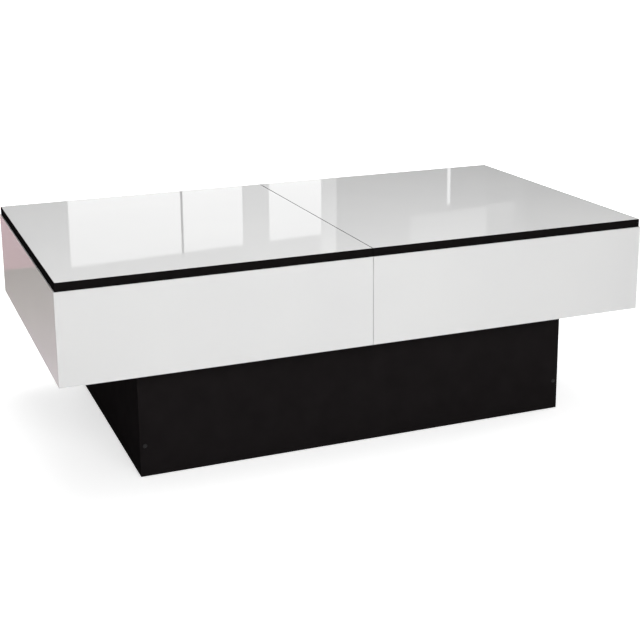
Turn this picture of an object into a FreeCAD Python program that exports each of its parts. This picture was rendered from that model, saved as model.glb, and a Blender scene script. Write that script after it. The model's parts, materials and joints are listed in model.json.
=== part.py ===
import FreeCAD, Part
import math
import os
import re
import Sketcher
from FreeCAD import Placement, Rotation, Vector

# Sliding top coffee table. A plinth carries an open storage tray, and two half tops with aprons
# run apart along the length on ball-bearing runners to open the tray.
# Millimetres. Origin on the floor under the middle, X along the length, front towards -Y, Z up.

doc = FreeCAD.newDocument("SlidingTopCoffeeTable")
sheet = doc.addObject("Spreadsheet::Sheet", "Sizes")
pieces = []

# How many there are in a row
RUNNER_SCREWS = 3
FLOOR_SCREWS = 3
BATTEN_SCREWS = 2
GLIDES = 3
BALLS = 4
# A ball has flats too: its corners lie on these rings, in degrees from its middle
LOW_RING = 20
HIGH_RING = 60

# Driving sizes
driving_sizes = {
    # overall
    "table_length": "1100",
    "table_width": "600",
    "table_height": "375",
    # half tops
    "top_thickness": "15",
    "top_reveal": "2",
    "band_thickness": "1",
    "seam_band_thickness": "0.25",
    "seam_gap": "0.8",
    "bumper_diameter": "8",
    "bumper_clearance": "0.2",
    "bumper_inset": "15",
    "apron_height": "160",
    "apron_thickness": "18",
    # plinth
    "plinth_end_setback": "138",
    "plinth_side_setback": "50",
    "plinth_thickness": "18",
    "plinth_screw_height": "57",
    "plinth_dowel_height": "140",
    "plinth_cap_diameter": "7.4",
    "plinth_cap_crown": "4.6",
    "plinth_cap_rim": "0.4",
    "plinth_cap_height": "1.2",
    "glide_diameter": "14",
    "glide_height": "1",
    "glide_edge": "0.6",
    "glide_pin_diameter": "3",
    "glide_pin_length": "12",
    "glide_end_inset": "60",
    "batten_size": "25",
    "batten_end_clearance": "1",
    "batten_screw_inset": "60",
    "batten_screw_offset": "30",
    # tray
    "tray_lift": "5",
    "tray_floor_thickness": "15",
    "tray_wall_thickness": "15",
    "tray_top_clearance": "5",
    "tray_end_clearance": "12",
    "floor_screw_inset": "100",
    "tray_corner_inset": "25",
    # ball-bearing runners
    "slide_drop": "80",
    "slide_thickness": "12.7",
    "slide_height": "35",
    "slide_sheet": "1.2",
    "slide_centre_gap": "45",
    "slide_bracket_gap": "7",
    "slide_travel": "280",
    "slide_hole_inset": "35",
    "stop_clearance": "0.3",
    "stop_half_height": "5",
    "cage_stop_height": "1.3",
    "close_stop_height": "3",
    "lip_angle": "15",
    "ball_diameter": "4.76",
    "ball_clearance": "0.27",
    "ball_end_inset": "8",
    "cage_sheet": "0.5",
    "cage_clearance": "0.5",
    # corner brackets
    "bracket_leg": "30",
    "bracket_height": "25",
    "bracket_sheet": "2",
    "bracket_bend": "1.5",
    "bracket_rise": "10",
    "bracket_hole_inset": "10",
    # fastenings
    "fixing_inset": "80",
    "dowel_offset": "40",
    "dowel_diameter": "8",
    "dowel_grip": "20",
    "hole_cover": "4",
    "cam_diameter": "15",
    "cam_depth": "13.5",
    "cam_drop": "34",
    "cam_mouth_clearance": "0.6",
    "cam_slot_length": "9",
    "cam_slot_width": "1.6",
    "cam_slot_depth": "2.5",
    "bolt_head_diameter": "6",
    "bolt_head_height": "3",
    "bolt_neck_diameter": "4.5",
    "bolt_thread_diameter": "6",
    "screw_diameter": "3.5",
    "screw_tip_cover": "3",
    "panel_screw_diameter": "4.5",
    "panel_screw_head": "7",
    "panel_screw_grip": "32",
    "fit_clearance": "0.1",
    "hole_end_clearance": "0.5",
}

# Sizes that follow from the driving ones
derived_sizes = {
    "half_length": "=table_length / 2",
    "half_width": "=table_width / 2",
    "top_underside": "=table_height - top_thickness",
    # half tops
    "panel_inset": "=top_reveal + band_thickness",
    "panel_length": "=half_length - seam_gap / 2 - seam_band_thickness - panel_inset",
    "panel_width": "=table_width - 2 * panel_inset",
    "bumper_thickness": "=seam_gap - bumper_clearance",
    "apron_bottom": "=top_underside - apron_height",
    "apron_run": "=half_length - seam_gap / 2",
    "apron_middle": "=apron_thickness / 2",
    # tray
    "tray_half_length": "=half_length - apron_thickness - tray_end_clearance",
    "tray_half_width": "=half_width - apron_thickness - slide_thickness",
    "tray_length": "=2 * tray_half_length",
    "tray_width": "=2 * tray_half_width",
    "tray_bottom": "=apron_bottom + tray_lift",
    "tray_wall_bottom": "=tray_bottom + tray_floor_thickness",
    "tray_wall_height": "=top_underside - tray_top_clearance - tray_wall_bottom",
    "tray_wall_middle": "=tray_wall_thickness / 2",
    "tray_end_span": "=tray_width - 2 * tray_wall_thickness",
    "floor_screw_span": "=tray_length - 2 * floor_screw_inset",
    "floor_screw_pitch": f"=floor_screw_span / {FLOOR_SCREWS - 1}",
    # plinth
    "plinth_length": "=table_length - 2 * plinth_end_setback",
    "plinth_width": "=table_width - 2 * plinth_side_setback",
    "plinth_height": "=tray_bottom - glide_height",
    "plinth_middle": "=plinth_thickness / 2",
    "plinth_end_span": "=plinth_width - 2 * plinth_thickness",
    "glide_span": "=plinth_length - 2 * glide_end_inset",
    "glide_pitch": f"=glide_span / {GLIDES - 1}",
    "batten_length": "=plinth_length - 2 * plinth_thickness - 2 * batten_end_clearance",
    "batten_middle": "=batten_size / 2",
    "batten_level": "=tray_bottom - batten_size",
    "batten_screw_span": "=batten_length - 2 * batten_screw_inset - batten_screw_offset",
    "batten_screw_pitch": f"=batten_screw_span / {BATTEN_SCREWS - 1}",
    # ball-bearing runners
    "slide_level": "=top_underside - slide_drop",
    "slide_outer_end": "=half_length - apron_thickness - bracket_leg - slide_bracket_gap",
    "slide_length": "=slide_outer_end - slide_centre_gap",
    "slide_end_stop": "=slide_sheet + stop_clearance",
    "outer_runner_length": "=slide_length + slide_end_stop",
    "slide_hole_span": "=slide_length - 2 * slide_hole_inset",
    "slide_hole_pitch": f"=slide_hole_span / {RUNNER_SCREWS - 1}",
    "slide_half_height": "=slide_height / 2",
    "slide_front": "=slide_thickness - slide_sheet",
    "race_radius": "=ball_diameter / 2 + ball_clearance",
    "ball_depth": "=slide_thickness / 2",
    "ball_core_radius": f"=ball_diameter / 2 * cos({LOW_RING})",
    "ball_core_height": f"=ball_diameter * sin({HIGH_RING})",
    "ball_rim": f"=ball_diameter / 2 * (sin({HIGH_RING}) - sin({LOW_RING}))",
    "ball_level": "=slide_half_height - slide_sheet - race_radius",
    "cage_length": "=slide_length - slide_travel - 2 * slide_end_stop",
    "cage_start": "=slide_travel / 2 + slide_end_stop",
    "ball_window": "=ball_diameter + 2 * fit_clearance",
    "cage_back": "=slide_sheet + cage_clearance",
    "cage_front": "=slide_front - cage_clearance",
    "ball_span": "=cage_length - 2 * ball_end_inset",
    "ball_pitch": f"=ball_span / {BALLS - 1}",
    # fastenings
    "runner_screw_head": "=screw_diameter + 2 * slide_sheet",
    "bracket_screw_head": "=screw_diameter + 2 * bracket_sheet",
    "tray_screw_length": "=slide_sheet + tray_wall_thickness - screw_tip_cover",
    "apron_screw_length": "=slide_sheet + apron_thickness - screw_tip_cover",
    "bracket_screw_length": "=bracket_sheet + apron_thickness - screw_tip_cover",
    "batten_panel_screw_length": "=batten_size + plinth_thickness - screw_tip_cover",
    "batten_floor_screw_length": "=batten_size + tray_floor_thickness - screw_tip_cover",
    "top_hole_depth": "=top_thickness - hole_cover",
    "plinth_hole_depth": "=plinth_thickness - hole_cover",
    "screw_hole": "=screw_diameter + 2 * fit_clearance",
    "panel_screw_hole": "=panel_screw_diameter + 2 * fit_clearance",
    "panel_screw_mouth": "=panel_screw_head + 2 * fit_clearance",
    "panel_screw_bore": "=panel_screw_grip + hole_end_clearance",
    "dowel_hole": "=dowel_diameter + 2 * fit_clearance",
    "dowel_bore": "=dowel_grip + hole_end_clearance",
    "bolt_hole": "=bolt_head_diameter + 2 * fit_clearance",
    "thread_hole": "=bolt_thread_diameter + 2 * fit_clearance",
    "cam_mouth": "=bolt_head_diameter + 2 * cam_mouth_clearance",
    "cam_hole": "=cam_diameter + 2 * fit_clearance",
    "cam_bore": "=cam_depth + fit_clearance",
    "cam_level": "=apron_height - cam_drop",
}

for row, (alias, content) in enumerate([*driving_sizes.items(), *derived_sizes.items()], start=1):
    sheet.set(f"A{row}", alias)
    sheet.set(f"B{row}", content)
    sheet.setAlias(f"B{row}", alias)
doc.recompute()

# Directions that a fastener can point in, from straight up
POINTING_UP = Rotation()
POINTING_FRONT = Rotation(Vector(1, 0, 0), 90)
POINTING_BACK = Rotation(Vector(1, 0, 0), -90)
POINTING_LEFT = Rotation(Vector(0, 0, 1), -90) * POINTING_FRONT
POINTING_RIGHT = Rotation(Vector(0, 0, 1), 90) * POINTING_FRONT
TURNED_ROUND = Rotation(Vector(0, 0, 1), 180)
SIDE_TO_SIDE = Vector(1, 0, 0)
FRONT_TO_BACK = Vector(0, 1, 0)
SIZE_NAME = re.compile(r"[a-z_]+")
# A length that counts as none
NOTHING = 0.001

# Fastenings and their holes have flats instead of round walls, which keeps the model light
FEW_FLATS = 6
MORE_FLATS = 8
# A countersink's taper on its flats, for corners that close in by 45 degrees
SINK_TAPER = -math.degrees(math.atan(math.cos(math.pi / FEW_FLATS)))


def bound(text):
    """Point each size name of an expression at the sheet."""
    return SIZE_NAME.sub(lambda name: "Sizes." + name.group(), text)


def measure(text):
    """Return the number that an expression in size names comes to."""
    numbers = SIZE_NAME.sub(lambda name: repr(sheet.get(name.group())), text)
    return FreeCAD.Units.Quantity(numbers).Value


def place(thing, x, y, z, rotation=POINTING_UP):
    """Turn an object, then bind its place to the sheet."""
    thing.Placement = Placement(Vector(), rotation)
    for axis, text in zip("xyz", (x, y, z)):
        thing.setExpression("Placement.Base." + axis, bound(text))


def keep(thing, label):
    """Name a finished sub-part and put it on the list of pieces."""
    thing.Label = label
    pieces.append(thing)
    return thing


def origin_feature(body, role):
    """Return a body's own origin plane or axis."""
    return next(feature for feature in body.Origin.OriginFeatures if feature.Role == role)


def add_sketch(body, role, level="0"):
    """Add a sketch on one of the body's origin planes, raised along the plane's normal."""
    sketch = body.newObject("Sketcher::SketchObject", body.Name + "Sketch")
    sketch.AttachmentSupport = [(origin_feature(body, role), "")]
    sketch.MapMode = "FlatFace"
    sketch.setExpression("AttachmentOffset.Base.z", bound(level))
    return sketch


def hold(edge, point, spot):
    """Rules that hold a sketch point at bound distances from the origin; 0 puts it on that axis."""
    rules = []
    for kind, axis, text in zip(("DistanceX", "DistanceY"), (-2, -1), spot):
        if text == "0":
            rules.append((Sketcher.Constraint("PointOnObject", edge, point, axis), None))
        else:
            rules.append((Sketcher.Constraint(kind, -1, 1, edge, point, measure(text)), text))
    return rules


def join(edge, point, other, other_point):
    """Rule that joins two sketch points."""
    return (Sketcher.Constraint("Coincident", edge, point, other, other_point), None)


def add_rules(sketch, rules):
    """Add rules to a sketch and bind those that come with an expression."""
    indexes = sketch.addConstraint([rule for rule, text in rules])
    for index, (rule, text) in zip(indexes, rules):
        if text is not None:
            sketch.setExpression(f"Constraints[{index}]", bound(text))


def outline(sketch, corners):
    """Close straight edges through the corners."""
    spots = [Vector(measure(x), measure(y)) for x, y in corners]
    sides = [Part.LineSegment(start, end) for start, end in zip(spots, spots[1:] + spots[:1])]
    edges = sketch.addGeometry(sides)
    rules = []
    for before, edge, corner in zip(edges[-1:] + edges[:-1], edges, corners):
        rules.append(join(before, 2, edge, 1))
        rules += hold(edge, 1, corner)
    add_rules(sketch, rules)


def ring(sketch, centre, diameter, flats=FEW_FLATS):
    """Draw a regular outline of a bound diameter, corner to corner, about a bound centre."""
    x, y = centre
    corners = []
    for step in range(flats):
        turn = 2 * math.pi * step / flats
        across = f"{x} + {math.cos(turn):.9f} * ({diameter}) / 2"
        up = f"{y} + {math.sin(turn):.9f} * ({diameter}) / 2"
        corners.append((across, up))
    outline(sketch, corners)


def pad(body, sketch, length):
    """Raise a sketch into a solid."""
    feature = body.newObject("PartDesign::Pad", body.Name + "Pad")
    feature.Profile = sketch
    feature.setExpression("Length", bound(length))
    return feature


def board(name, length, width, height):
    """A rectangular board that starts at the body's origin."""
    return prism(name, [("0", "0"), (length, "0"), (length, width), ("0", width)], height)


def prism(name, corners, height):
    """A straight piece with the given plan outline."""
    body = doc.addObject("PartDesign::Body", name)
    sketch = add_sketch(body, "XY_Plane")
    outline(sketch, corners)
    pad(body, sketch, height)
    return body


def add_spindle(body, sections, flats=FEW_FLATS):
    """Add a length of given diameters at given heights along the body's Z axis."""
    rings = []
    for diameter, height in sections:
        sketch = add_sketch(body, "XY_Plane", height)
        ring(sketch, ("0", "0"), diameter, flats)
        rings.append(sketch)
    loft = body.newObject("PartDesign::AdditiveLoft", body.Name + "Loft")
    loft.Profile = rings[0]
    loft.Sections = rings[1:]
    loft.Ruled = True


def spindle(name, sections, flats=FEW_FLATS):
    """A piece of given diameters at given heights."""
    body = doc.addObject("PartDesign::Body", name)
    add_spindle(body, sections, flats)
    return body


def cut(body, sketch, depth, against, taper=0):
    """Cut a sketch's outlines out of a body, through it where no depth is given.

    A cut goes against the sketch's normal, or along it where against is true.
    """
    doc.recompute()
    before = body.Shape.Volume
    pocket = body.newObject("PartDesign::Pocket", body.Name + "Pocket")
    pocket.Profile = sketch
    pocket.Reversed = against
    pocket.TaperAngle = taper
    if depth is None:
        pocket.Type = "ThroughAll"
    else:
        pocket.setExpression("Length", bound(depth))
    doc.recompute()
    if body.Shape.Volume >= before:
        raise RuntimeError(pocket.Name + " cuts nothing")


def drill(body, role, centres, diameter, depth=None, level="0", against=False, mouth=None, flats=FEW_FLATS):
    """Drill holes from a plane, with a countersink where a mouth's diameter is given."""
    sketch = add_sketch(body, role, level)
    for centre in centres:
        ring(sketch, centre, diameter, flats)
    cut(body, sketch, depth, against)
    if mouth is not None:
        sketch = add_sketch(body, role, level)
        for centre in centres:
            ring(sketch, centre, mouth, flats)
        cut(body, sketch, f"({mouth} - {diameter}) / 2", against, SINK_TAPER)


def repeat(body, originals, axis, span, count):
    """Repeat features of a body in a row along one of its axes."""
    row = body.newObject("PartDesign::LinearPattern", body.Name + "Row")
    row.Originals = originals
    row.Direction = (origin_feature(body, axis), [""])
    row.setExpression("Length", bound(span))
    row.Occurrences = count
    body.Tip = row


def mirror(source, normal):
    """A mirror image of an object in the table's middle plane."""
    image = doc.addObject("Part::Mirroring", source.Name + "Image")
    image.Source = source
    image.Normal = normal
    return image


def with_images(things, normal):
    """The given objects followed by their mirror images."""
    return things + [mirror(thing, normal) for thing in things]


def group(things, label):
    """Keep separate solids together as one piece."""
    bundle = doc.addObject("Part::Compound", label.title().replace("_", ""))
    bundle.Links = things
    return keep(bundle, label)


def countersunk_screw(name, head, shank, length):
    """A countersunk screw that points along Z, its head's face at the origin."""
    return spindle(name, [(head, "0"), (shank, f"({head} - {shank}) / 2"), (shank, length)])


def dowel(name, length):
    """A wooden dowel that points along Z from the origin."""
    return spindle(name, [("dowel_diameter", "0"), ("dowel_diameter", length)])


# Places along the pieces that several boards and their fastenings share
run_bolts = ["fixing_inset", "apron_run - fixing_inset"]
run_dowels = ["fixing_inset + dowel_offset", "apron_run - fixing_inset - dowel_offset"]
end_bolts = ["fixing_inset", "table_width - fixing_inset"]
end_dowels = ["fixing_inset + dowel_offset", "table_width - fixing_inset - dowel_offset"]
runner_holes = [f"slide_hole_inset + {step} * slide_hole_pitch" for step in range(RUNNER_SCREWS)]
bracket_screw_level = "bracket_rise + bracket_height / 2"
floor_screws_long = [f"floor_screw_inset + {step} * floor_screw_pitch" for step in range(FLOOR_SCREWS)]
floor_screws_end = ["floor_screw_inset", "tray_width - floor_screw_inset"]
tray_corner_levels = ["tray_corner_inset", "tray_wall_height - tray_corner_inset"]
batten_panel_screws = [f"batten_screw_inset + {step} * batten_screw_pitch" for step in range(BATTEN_SCREWS)]
batten_floor_screws = [f"{spot} + batten_screw_offset" for spot in batten_panel_screws]
glides = [f"glide_end_inset + {step} * glide_pitch" for step in range(GLIDES)]


# Top panels: a board on the aprons, drilled underneath for bolts and dowels

def make_top_panel():
    body = board("TopPanel", "panel_length", "panel_width", "top_thickness")
    front = "apron_middle - panel_inset"
    back = "panel_width - apron_middle + panel_inset"
    fixings = ((run_bolts, end_bolts, "thread_hole"), (run_dowels, end_dowels, "dowel_hole"))
    for along, across, hole in fixings:
        centres = [(f"{spot} - panel_inset", side) for spot in along for side in (front, back)]
        centres += [("apron_middle - panel_inset", f"{spot} - panel_inset") for spot in across]
        drill(body, "XY_Plane", centres, hole, "top_hole_depth + hole_end_clearance", against=True)
    place(body, "-half_length + panel_inset", "-half_width + panel_inset", "top_underside")
    keep(body, "left_top_panel")
    keep(mirror(body, SIDE_TO_SIDE), "right_top_panel")


# Edge bands: a strip on each edge of a top panel, thin at the seam, the long strips over the ends of the others

def make_edge_band():
    strips = []
    outer_x = "-half_length + top_reveal"
    seam_x = "-seam_gap / 2 - seam_band_thickness"
    front_y = "-half_width + top_reveal"
    side_y = "-half_width + panel_inset"
    back_y = "half_width - panel_inset"
    long_strip = "band_thickness + panel_length + seam_band_thickness"
    for name, x, y, length, width in (
        ("BandFront", outer_x, front_y, long_strip, "band_thickness"),
        ("BandBack", outer_x, back_y, long_strip, "band_thickness"),
        ("BandOuter", outer_x, side_y, "band_thickness", "panel_width"),
        ("BandSeam", seam_x, side_y, "seam_band_thickness", "panel_width"),
    ):
        strip = doc.addObject("Part::Box", name)
        strip.setExpression("Length", bound(length))
        strip.setExpression("Width", bound(width))
        strip.setExpression("Height", bound("top_thickness"))
        place(strip, x, y, "top_underside")
        strips.append(strip)
    band = group(strips, "left_edge_band")
    keep(mirror(band, SIDE_TO_SIDE), "right_edge_band")


# Long aprons: mitred at the outer end, square at the seam, drilled inside for cams, runner and bracket

def make_long_aprons():
    body = prism("FrontApron", [
        ("0", "0"),
        ("apron_run", "0"),
        ("apron_run", "apron_thickness"),
        ("apron_thickness", "apron_thickness"),
    ], "apron_height")
    inside = "-apron_thickness"
    drill(body, "XZ_Plane", [(spot, "cam_level") for spot in run_bolts],
          "cam_hole", "cam_bore", level=inside, against=True, flats=MORE_FLATS)
    drill(body, "XY_Plane", [(spot, "apron_middle") for spot in run_bolts],
          "bolt_hole", "cam_drop", level="apron_height")
    drill(body, "XY_Plane", [(spot, "apron_middle") for spot in run_dowels],
          "dowel_hole", "dowel_bore", level="apron_height")
    level = "apron_height - slide_drop"
    screws = [(f"half_length - slide_centre_gap - ({spot})", level) for spot in runner_holes]
    drill(body, "XZ_Plane", screws, "screw_hole",
          "apron_screw_length - slide_sheet + hole_end_clearance", level=inside, against=True)
    screw = ("apron_thickness + bracket_leg - bracket_hole_inset", bracket_screw_level)
    drill(body, "XZ_Plane", [screw], "screw_hole",
          "bracket_screw_length - bracket_sheet + hole_end_clearance", level=inside, against=True)
    place(body, "-half_length", "-half_width", "apron_bottom")
    left_front = keep(body, "left_front_apron")
    left_back = keep(mirror(left_front, FRONT_TO_BACK), "left_back_apron")
    keep(mirror(left_front, SIDE_TO_SIDE), "right_front_apron")
    keep(mirror(left_back, SIDE_TO_SIDE), "right_back_apron")


# End aprons: mitred at both ends

def make_end_aprons():
    body = prism("EndApron", [
        ("0", "0"),
        ("apron_thickness", "apron_thickness"),
        ("apron_thickness", "table_width - apron_thickness"),
        ("0", "table_width"),
    ], "apron_height")
    inside = "apron_thickness"
    drill(body, "YZ_Plane", [(spot, "cam_level") for spot in end_bolts],
          "cam_hole", "cam_bore", level=inside, flats=MORE_FLATS)
    drill(body, "XY_Plane", [("apron_middle", spot) for spot in end_bolts],
          "bolt_hole", "cam_drop", level="apron_height")
    drill(body, "XY_Plane", [("apron_middle", spot) for spot in end_dowels],
          "dowel_hole", "dowel_bore", level="apron_height")
    reach = "apron_thickness + bracket_leg - bracket_hole_inset"
    screws = [(side, bracket_screw_level) for side in (reach, f"table_width - ({reach})")]
    drill(body, "YZ_Plane", screws, "screw_hole",
          "bracket_screw_length - bracket_sheet + hole_end_clearance", level=inside)
    place(body, "-half_length", "-half_width", "apron_bottom")
    keep(body, "left_end_apron")
    keep(mirror(body, SIDE_TO_SIDE), "right_end_apron")


# Corner brackets: bent steel angles in the mitred corners, a countersunk screw in each leg

def make_corner_brackets():
    body = prism("CornerBracket", [
        ("0", "0"),
        ("bracket_leg", "0"),
        ("bracket_leg", "bracket_sheet"),
        ("bracket_sheet", "bracket_sheet"),
        ("bracket_sheet", "bracket_leg"),
        ("0", "bracket_leg"),
    ], "bracket_height")
    doc.recompute()
    angle = body.Tip
    bend = body.newObject("PartDesign::Fillet", "BracketBend")
    bend.Base = (angle, bracket_bend_edges(angle.Shape))
    bend.setExpression("Radius", bound("bracket_bend"))
    reach = "bracket_leg - bracket_hole_inset"
    centre = (reach, "bracket_height / 2")
    mouth = "bracket_screw_head + 2 * fit_clearance"
    drill(body, "XZ_Plane", [centre], "screw_hole", level="-bracket_sheet", against=True, mouth=mouth)
    drill(body, "YZ_Plane", [centre], "screw_hole", level="bracket_sheet", mouth=mouth)
    corner_x = "-half_length + apron_thickness"
    corner_y = "-half_width + apron_thickness"
    place(body, corner_x, corner_y, "apron_bottom + bracket_rise")
    left = group(with_images([body], FRONT_TO_BACK), "left_corner_brackets")
    keep(mirror(left, SIDE_TO_SIDE), "right_corner_brackets")

    screws = []
    for name, x, y, direction in (
        ("BracketScrewLong", f"{corner_x} + {reach}", f"{corner_y} + bracket_sheet", POINTING_FRONT),
        ("BracketScrewEnd", f"{corner_x} + bracket_sheet", f"{corner_y} + {reach}", POINTING_LEFT),
    ):
        screw = countersunk_screw(name, "bracket_screw_head", "screw_diameter", "bracket_screw_length")
        place(screw, x, y, f"apron_bottom + {bracket_screw_level}", direction)
        screws.append(screw)
    left = group(with_images(screws, FRONT_TO_BACK), "left_bracket_screws")
    keep(mirror(left, SIDE_TO_SIDE), "right_bracket_screws")


def bracket_bend_edges(shape):
    """The upright edges at the outside of the bend."""
    names = []
    for index, edge in enumerate(shape.Edges, start=1):
        box = edge.BoundBox
        if max(box.XMax, box.YMax) < NOTHING:
            names.append(f"Edge{index}")
    return names


# Cam nuts, cam bolts and dowels between the aprons and the top panel

def cam_nut(name):
    """A cam nut whose face is at the origin and whose bolt comes in from its own +Y side."""
    body = spindle(name, [("cam_diameter", "0"), ("cam_diameter", "cam_depth")], MORE_FLATS)
    drill(body, "XZ_Plane", [("0", "apron_middle")], "cam_mouth", "cam_diameter", level="cam_mouth / 2")
    slot = body.newObject("PartDesign::SubtractiveBox", name + "Slot")
    slot.setExpression("Length", bound("cam_slot_length"))
    slot.setExpression("Width", bound("cam_slot_width"))
    slot.setExpression("Height", bound("cam_slot_depth"))
    slot.AttachmentSupport = [(origin_feature(body, "XY_Plane"), "")]
    slot.MapMode = "FlatFace"
    slot.setExpression("AttachmentOffset.Base.x", bound("-cam_slot_length / 2"))
    slot.setExpression("AttachmentOffset.Base.y", bound("-cam_slot_width / 2"))
    return body


def cam_bolt(name):
    """A bolt whose head stands in the cam nut and whose thread is in the top panel, pointing up."""
    collar = "cam_drop + bolt_head_height / 2"
    body = spindle(name, [("bolt_head_diameter", "0"), ("bolt_head_diameter", "bolt_head_height")])
    add_spindle(body, [("bolt_neck_diameter", "bolt_head_height"), ("bolt_neck_diameter", collar)])
    tip = f"{collar} + top_hole_depth"
    add_spindle(body, [("bolt_thread_diameter", collar), ("bolt_thread_diameter", tip)])
    return body


def make_apron_fixings():
    front_line = "-half_width + apron_middle"
    end_line = "-half_length + apron_middle"
    nuts = []
    bolts = []
    dowels = []
    for spot in run_bolts:
        nut = cam_nut("CamNutFront")
        place(nut, f"-half_length + {spot}", "-half_width + apron_thickness", "apron_bottom + cam_level",
              POINTING_FRONT)
        bolt = cam_bolt("CamBoltFront")
        place(bolt, f"-half_length + {spot}", front_line, "top_underside - cam_drop - bolt_head_height / 2")
        nuts.append(nut)
        bolts.append(bolt)
    nut = cam_nut("CamNutEnd")
    place(nut, "-half_length + apron_thickness", f"-half_width + {end_bolts[0]}", "apron_bottom + cam_level",
          POINTING_LEFT)
    bolt = cam_bolt("CamBoltEnd")
    place(bolt, end_line, f"-half_width + {end_bolts[0]}", "top_underside - cam_drop - bolt_head_height / 2")
    nuts.append(nut)
    bolts.append(bolt)
    spots = [(f"-half_length + {spot}", front_line) for spot in run_dowels]
    spots.append((end_line, f"-half_width + {end_dowels[0]}"))
    for x, y in spots:
        peg = dowel("ApronDowel", "dowel_grip + top_hole_depth")
        place(peg, x, y, "top_underside - dowel_grip")
        dowels.append(peg)
    for things, name in ((nuts, "cam_nuts"), (bolts, "cam_bolts"), (dowels, "apron_dowels")):
        left = group(with_images(things, FRONT_TO_BACK), "left_" + name)
        keep(mirror(left, SIDE_TO_SIDE), "right_" + name)


# Bumpers: rubber discs between the meeting ends of the aprons

def make_bumpers():
    disc = spindle("Bumper", [("bumper_diameter", "0"), ("bumper_diameter", "bumper_thickness")])
    repeat(disc, [disc.Tip], "Y_Axis", "apron_height - 2 * bumper_inset", 2)
    place(disc, "-seam_gap / 2", "-half_width + apron_middle", "apron_bottom + bumper_inset", POINTING_RIGHT)
    group(with_images([disc], FRONT_TO_BACK), "left_bumpers")


# Ball-bearing runners: each is drawn with X outwards along its length and Y from the tray wall to the apron

def channel(body, back, front, far, near, arc_start):
    """Draw the upper half of a runner's channel: web, flange and a lip that curls round the balls.

    The web lies between back and front, the flange's faces at far and near, and the lip runs from the lip
    angle to a quarter turn, both counted from arc_start.
    """
    sketch = add_sketch(body, "YZ_Plane")
    centre = Vector(measure("ball_depth"), measure("ball_level"))
    first = math.radians(arc_start + measure("lip_angle"))
    last = math.radians(arc_start + 90)
    corners = {
        "web_foot": (back, "0"),
        "web_head": (back, far),
        "lip_far": ("ball_depth", far),
        "lip_near": ("ball_depth", near),
        "flange_root": (front, near),
        "front_foot": (front, "0"),
    }
    spots = {name: Vector(measure(x), measure(y)) for name, (x, y) in corners.items()}
    far_radius = (spots["lip_far"] - centre).Length
    near_radius = (spots["lip_near"] - centre).Length
    far_tip = centre + Vector(math.cos(first), math.sin(first)) * far_radius
    near_tip = centre + Vector(math.cos(first), math.sin(first)) * near_radius
    upright = Vector(0, 0, 1)
    web_back, flange_far, lip_far, tip, lip_near, flange_near, web_front, foot = sketch.addGeometry([
        Part.LineSegment(spots["web_foot"], spots["web_head"]),
        Part.LineSegment(spots["web_head"], spots["lip_far"]),
        Part.ArcOfCircle(Part.Circle(centre, upright, far_radius), first, last),
        Part.LineSegment(near_tip, far_tip),
        Part.ArcOfCircle(Part.Circle(centre, upright, near_radius), first, last),
        Part.LineSegment(spots["lip_near"], spots["flange_root"]),
        Part.LineSegment(spots["flange_root"], spots["front_foot"]),
        Part.LineSegment(spots["front_foot"], spots["web_foot"]),
    ])
    slope = math.atan2((far_tip - near_tip).y, (far_tip - near_tip).x)
    add_rules(sketch, [
        join(web_back, 2, flange_far, 1),
        join(flange_far, 2, lip_far, 2),
        join(lip_far, 1, tip, 2),
        join(tip, 1, lip_near, 1),
        join(lip_near, 2, flange_near, 1),
        join(flange_near, 2, web_front, 1),
        join(web_front, 2, foot, 1),
        join(foot, 2, web_back, 1),
        join(lip_far, 3, lip_near, 3),
        *hold(web_back, 1, corners["web_foot"]),
        *hold(web_back, 2, corners["web_head"]),
        *hold(flange_far, 2, corners["lip_far"]),
        *hold(flange_near, 1, corners["lip_near"]),
        *hold(flange_near, 2, corners["flange_root"]),
        *hold(web_front, 2, corners["front_foot"]),
        *hold(lip_far, 3, ("ball_depth", "ball_level")),
        (Sketcher.Constraint("PointOnObject", lip_far, 3, tip), None),
        (Sketcher.Constraint("Angle", tip, slope), "lip_angle"),
    ])
    return sketch


def tab(body, low, high, start):
    """The upper half of a tab bent across the end of a runner."""
    sketch = add_sketch(body, "YZ_Plane", start)
    outline(sketch, [(low, "0"), (high, "0"), (high, "stop_half_height"), (low, "stop_half_height")])
    return pad(body, sketch, "slide_sheet")


def double(body, features):
    """Add the lower half of a runner piece."""
    image = body.newObject("PartDesign::Mirrored", body.Name + "Lower")
    image.Originals = features
    image.MirrorPlane = (origin_feature(body, "XY_Plane"), [""])
    body.Tip = image
    doc.recompute()


def four_images(body, name):
    """Keep a left front piece and its three mirror images."""
    left_front = keep(body, "left_front_" + name)
    left_back = keep(mirror(left_front, FRONT_TO_BACK), "left_back_" + name)
    keep(mirror(left_front, SIDE_TO_SIDE), "right_front_" + name)
    keep(mirror(left_back, SIDE_TO_SIDE), "right_back_" + name)


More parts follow.
